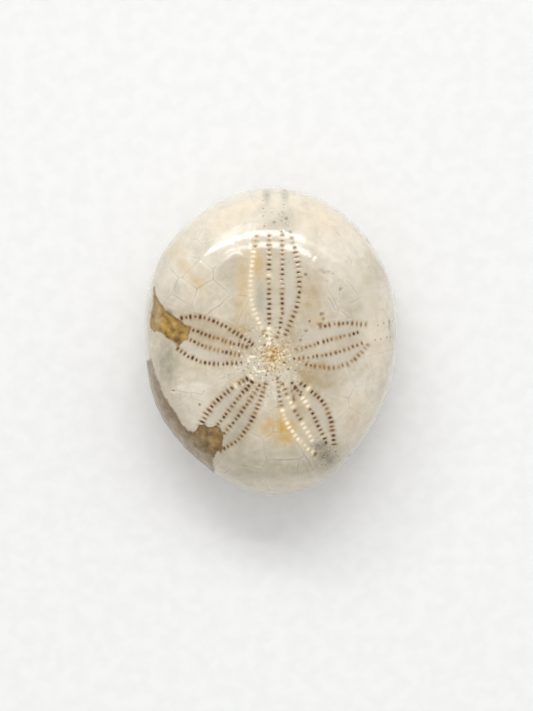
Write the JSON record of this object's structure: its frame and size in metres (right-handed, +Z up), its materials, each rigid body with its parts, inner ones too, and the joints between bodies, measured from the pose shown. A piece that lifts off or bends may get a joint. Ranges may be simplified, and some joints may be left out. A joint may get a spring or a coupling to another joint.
{
  "type": "fossil sea urchin",
  "caption": "Polished fossil sea urchin: an oval domed stone test with petal-shaped rows of pores, a flat underside and a central mouth hollow.",
  "frame": {"origin": "under the middle of the body, on the plane that it rests on", "axes": "+Y to the front of the animal, where the odd petal points; +X to its right seen from above; +Z up, out of the crown"},
  "size_m": [0.026, 0.0318, 0.0146],
  "materials": {
    "fossil_test": null
  },
  "bodies": {
    "root": {"fossil_test": "fossil_test"}
  },
  "joints": []
}
